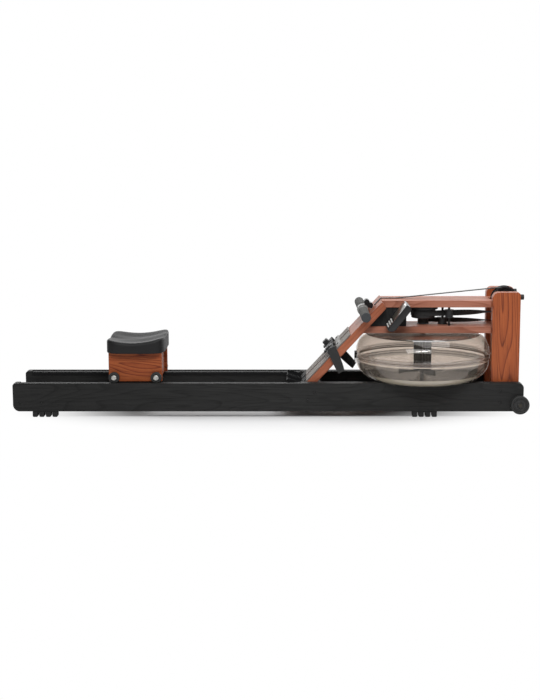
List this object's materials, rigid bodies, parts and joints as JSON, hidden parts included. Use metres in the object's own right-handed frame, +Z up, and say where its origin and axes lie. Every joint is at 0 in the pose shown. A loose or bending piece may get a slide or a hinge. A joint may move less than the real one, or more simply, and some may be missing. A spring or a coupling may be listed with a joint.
{
  "type": "water rowing machine",
  "caption": "Low rowing machine with long dark rails, a rolling seat, a wooden frame, a strap drive between two deck boards and a round clear water tank.",
  "frame": {"origin": "on the floor, under the middle of the machine's bounding box", "axes": "+X along the rails from the seat end to the tank end, +Y towards the rower's left, +Z up; the rower faces +X"},
  "size_m": [2.0947, 0.56, 0.519],
  "materials": {
    "stained_wood": "red-brown stained hardwood, satin varnish",
    "black_wood": "black stained hardwood, open grain, satin",
    "black_plastic": "black moulded plastic",
    "rubber": "black rubber",
    "webbing": "black woven webbing",
    "grey_plastic": "light grey moulded plastic",
    "grip_foam": "dark grey foam",
    "sleeve_plastic": "light grey plastic",
    "pad_foam": "black foam pad with a soft skin",
    "steel": "bright zinc plated steel",
    "tank_plastic": "clear smoke-tinted plastic",
    "paddle_plastic": "dark grey moulded plastic",
    "seal_rubber": "pale rubber"
  },
  "bodies": {
    "frame": {"right_rail": "black_wood", "left_rail": "black_wood", "right_track": "black_plastic", "left_track": "black_plastic", "rear_crossboard": "black_wood", "rear_right_foot": "rubber", "rear_left_foot": "rubber", "front_right_foot": "rubber", "front_left_foot": "rubber", "right_castor_axle": "steel", "left_castor_axle": "steel", "right_leg": "stained_wood", "left_leg": "stained_wood", "right_bumper": "rubber", "left_bumper": "rubber", "tank_shelf": "black_wood", "footboard": "stained_wood", "footboard_brace": "black_wood", "upper_deck": "stained_wood", "lower_deck": "stained_wood", "deck_filler": "black_wood", "right_foot_track": "grey_plastic", "left_foot_track": "grey_plastic", "right_foot_strap": "webbing", "left_foot_strap": "webbing", "tank_bowl": "tank_plastic", "tank_dome": "tank_plastic", "tank_seal": "seal_rubber", "fill_plug": "rubber", "drive_strap": "webbing", "recoil_belt": "webbing", "recoil_bungee": "webbing", "monitor_arm": "black_plastic"},
    "seat": {"seat_box": "stained_wood", "seat_pad": "pad_foam", "rear_seat_axle": "steel", "front_seat_axle": "steel"},
    "rear_right_wheel": {"rear_right_seat_wheel": "rubber"},
    "rear_left_wheel": {"rear_left_seat_wheel": "rubber"},
    "front_right_wheel": {"front_right_seat_wheel": "rubber"},
    "front_left_wheel": {"front_left_seat_wheel": "rubber"},
    "right_castor": {"right_castor_wheel": "rubber"},
    "left_castor": {"left_castor_wheel": "rubber"},
    "handle": {"handle_bar": "sleeve_plastic", "right_grip": "grip_foam", "left_grip": "grip_foam", "strap_clip": "black_plastic", "handle_strap": "webbing"},
    "strap_pulley": {"top_pulley": "black_plastic"},
    "clutch": {"clutch_drum": "black_plastic"},
    "idler": {"strap_idler": "black_plastic"},
    "belt_guide": {"recoil_guide": "black_plastic"},
    "belt_pulley": {"recoil_pulley": "black_plastic"},
    "bungee_pulley": {"bottom_pulley": "black_plastic"},
    "paddle": {"paddle_shaft": "steel", "paddle_rotor": "paddle_plastic"},
    "right_heel": {"right_heel_rest": "black_plastic"},
    "left_heel": {"left_heel_rest": "black_plastic"},
    "monitor": {"monitor_case": "black_plastic"}
  },
  "joints": [
    {"name": "seat_slide", "type": "slide", "parent": "frame", "child": "seat", "axis": [1, 0, 0], "range_m": [-0.34, 0.46]},
    {"name": "rear_right_wheel_spin", "type": "hinge", "parent": "seat", "child": "rear_right_wheel", "pos_m": [-0.6375, -0.138, 0.1597], "axis": [0, 1, 0], "continuous": true},
    {"name": "rear_left_wheel_spin", "type": "hinge", "parent": "seat", "child": "rear_left_wheel", "pos_m": [-0.6375, 0.138, 0.1597], "axis": [0, 1, 0], "continuous": true},
    {"name": "front_right_wheel_spin", "type": "hinge", "parent": "seat", "child": "front_right_wheel", "pos_m": [-0.4665, -0.138, 0.1597], "axis": [0, 1, 0], "continuous": true},
    {"name": "front_left_wheel_spin", "type": "hinge", "parent": "seat", "child": "front_left_wheel", "pos_m": [-0.4665, 0.138, 0.1597], "axis": [0, 1, 0], "continuous": true},
    {"name": "right_castor_spin", "type": "hinge", "parent": "frame", "child": "right_castor", "pos_m": [1.0095, -0.1755, 0.054], "axis": [0, 1, 0], "continuous": true},
    {"name": "left_castor_spin", "type": "hinge", "parent": "frame", "child": "left_castor", "pos_m": [1.0095, 0.1755, 0.054], "axis": [0, 1, 0], "continuous": true},
    {"name": "handle_pull", "type": "slide", "parent": "frame", "child": "handle", "axis": [-1, 0, 0], "range_m": [0, 1.2], "stiffness_N_per_m": 25, "springref_m": -0.2, "deforming": ["handle_strap"]},
    {"name": "strap_pulley_spin", "type": "hinge", "parent": "frame", "child": "strap_pulley", "pos_m": [0.961, 0, 0.464], "axis": [0, 1, 0], "continuous": true},
    {"name": "clutch_spin", "type": "hinge", "parent": "frame", "child": "clutch", "pos_m": [0.627, 0, 0.4], "axis": [0, 0, 1], "continuous": true},
    {"name": "idler_spin", "type": "hinge", "parent": "frame", "child": "idler", "pos_m": [0.729, -0.05281, 0.4], "axis": [0, 0, 1], "continuous": true},
    {"name": "belt_guide_spin", "type": "hinge", "parent": "frame", "child": "belt_guide", "pos_m": [0.707, -0.00328, 0.4], "axis": [0, 0, 1], "continuous": true},
    {"name": "belt_pulley_spin", "type": "hinge", "parent": "frame", "child": "belt_pulley", "pos_m": [0.948, 0, 0.349], "axis": [0, 1, 0], "continuous": true},
    {"name": "bungee_pulley_spin", "type": "hinge", "parent": "frame", "child": "bungee_pulley", "pos_m": [0.944, 0, 0.08], "axis": [0, 1, 0], "continuous": true},
    {"name": "paddle_spin", "type": "hinge", "parent": "frame", "child": "paddle", "pos_m": [0.627, 0, 0.25], "axis": [0, 0, 1], "continuous": true},
    {"name": "right_heel_slide", "type": "slide", "parent": "frame", "child": "right_heel", "axis": [0.6794, 0, 0.7337], "range_m": [0, 0.1]},
    {"name": "left_heel_slide", "type": "slide", "parent": "frame", "child": "left_heel", "axis": [0.6794, 0, 0.7337], "range_m": [0, 0.1]},
    {"name": "monitor_tilt", "type": "hinge", "parent": "frame", "child": "monitor", "pos_m": [0.516, -0.1, 0.41], "axis": [0, 1, 0], "range_deg": [-25, 25]}
  ],
  "couplings": [
    {"joint": "rear_right_wheel_spin", "follows": "seat_slide", "rad_per_m": 44.643},
    {"joint": "rear_left_wheel_spin", "follows": "seat_slide", "rad_per_m": 44.643},
    {"joint": "front_right_wheel_spin", "follows": "seat_slide", "rad_per_m": 44.643},
    {"joint": "front_left_wheel_spin", "follows": "seat_slide", "rad_per_m": 44.643},
    {"joint": "strap_pulley_spin", "follows": "handle_pull", "rad_per_m": -19.88},
    {"joint": "clutch_spin", "follows": "handle_pull", "rad_per_m": 19.88},
    {"joint": "idler_spin", "follows": "handle_pull", "rad_per_m": -57.8},
    {"joint": "belt_guide_spin", "follows": "handle_pull", "rad_per_m": 21.94},
    {"joint": "belt_pulley_spin", "follows": "handle_pull", "rad_per_m": -15.51},
    {"joint": "bungee_pulley_spin", "follows": "handle_pull", "rad_per_m": -13.53}
  ]
}
